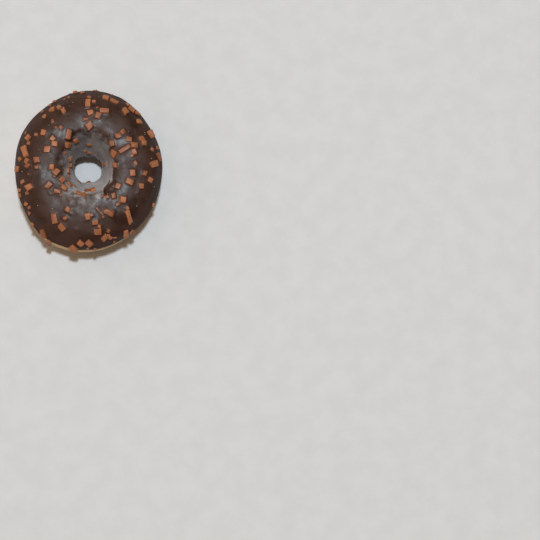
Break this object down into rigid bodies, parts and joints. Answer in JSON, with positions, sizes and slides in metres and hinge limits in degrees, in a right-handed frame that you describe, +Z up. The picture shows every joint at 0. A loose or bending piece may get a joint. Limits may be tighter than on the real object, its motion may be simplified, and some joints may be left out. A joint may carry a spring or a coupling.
{
  "type": "chocolate ring doughnut",
  "caption": "Oval fried ring doughnut with a thin dipped coat of dark chocolate icing and caramel nuggets set in it.",
  "frame": {"origin": "centre of the bounding box at the surface the doughnut rests on, near the middle of the hole", "axes": "+Z up along the ring's axis, out of the iced side; +Y along the ring's longer diameter, +X along its shorter one"},
  "size_m": [0.0856, 0.0974, 0.0355],
  "materials": {
    "dough": "fried dough: golden brown and slightly greasy underneath, with a pale cream belt at half height",
    "icing": "dark chocolate icing, smooth, with a soft satin gloss",
    "nuggets": "waxy caramel brown, slightly glossy"
  },
  "bodies": {
    "root": {"dough": "dough", "icing": "icing"}
  },
  "joints": []
}
